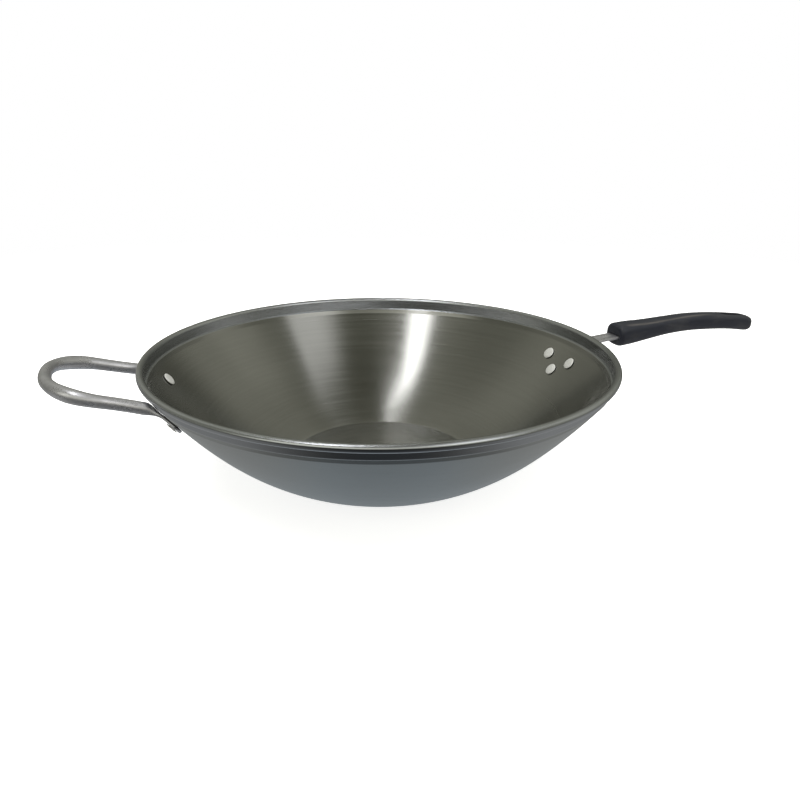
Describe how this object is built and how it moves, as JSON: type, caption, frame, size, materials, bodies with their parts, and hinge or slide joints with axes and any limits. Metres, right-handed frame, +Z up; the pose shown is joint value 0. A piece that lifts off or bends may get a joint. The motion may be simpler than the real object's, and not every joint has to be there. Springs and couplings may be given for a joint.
{
  "type": "wok",
  "caption": "Stainless steel wok with a rolled rim, flat base, riveted steel loop handle and riveted long handle with a black grip",
  "frame": {"origin": "centre of the flat base's underside, on the bowl's axis", "axes": "+Z up out of the bowl; +X towards the long handle; the loop handle points along -X"},
  "size_m": [0.6074, 0.3598, 0.1038],
  "materials": {
    "spun_steel": "fine circular brushing, satin",
    "polished_steel": "polished, light wear",
    "rivet_steel": "satin",
    "black_phenolic": "satin moulded"
  },
  "bodies": {
    "root": {"bowl": "spun_steel", "loop_handle": "polished_steel", "loop_rivet_left": "rivet_steel", "loop_rivet_right": "rivet_steel", "handle_bracket": "polished_steel", "bracket_rivet_left": "rivet_steel", "bracket_rivet_right": "rivet_steel", "bracket_rivet_lower": "rivet_steel", "grip": "black_phenolic", "grip_screw": "polished_steel"}
  },
  "joints": []
}
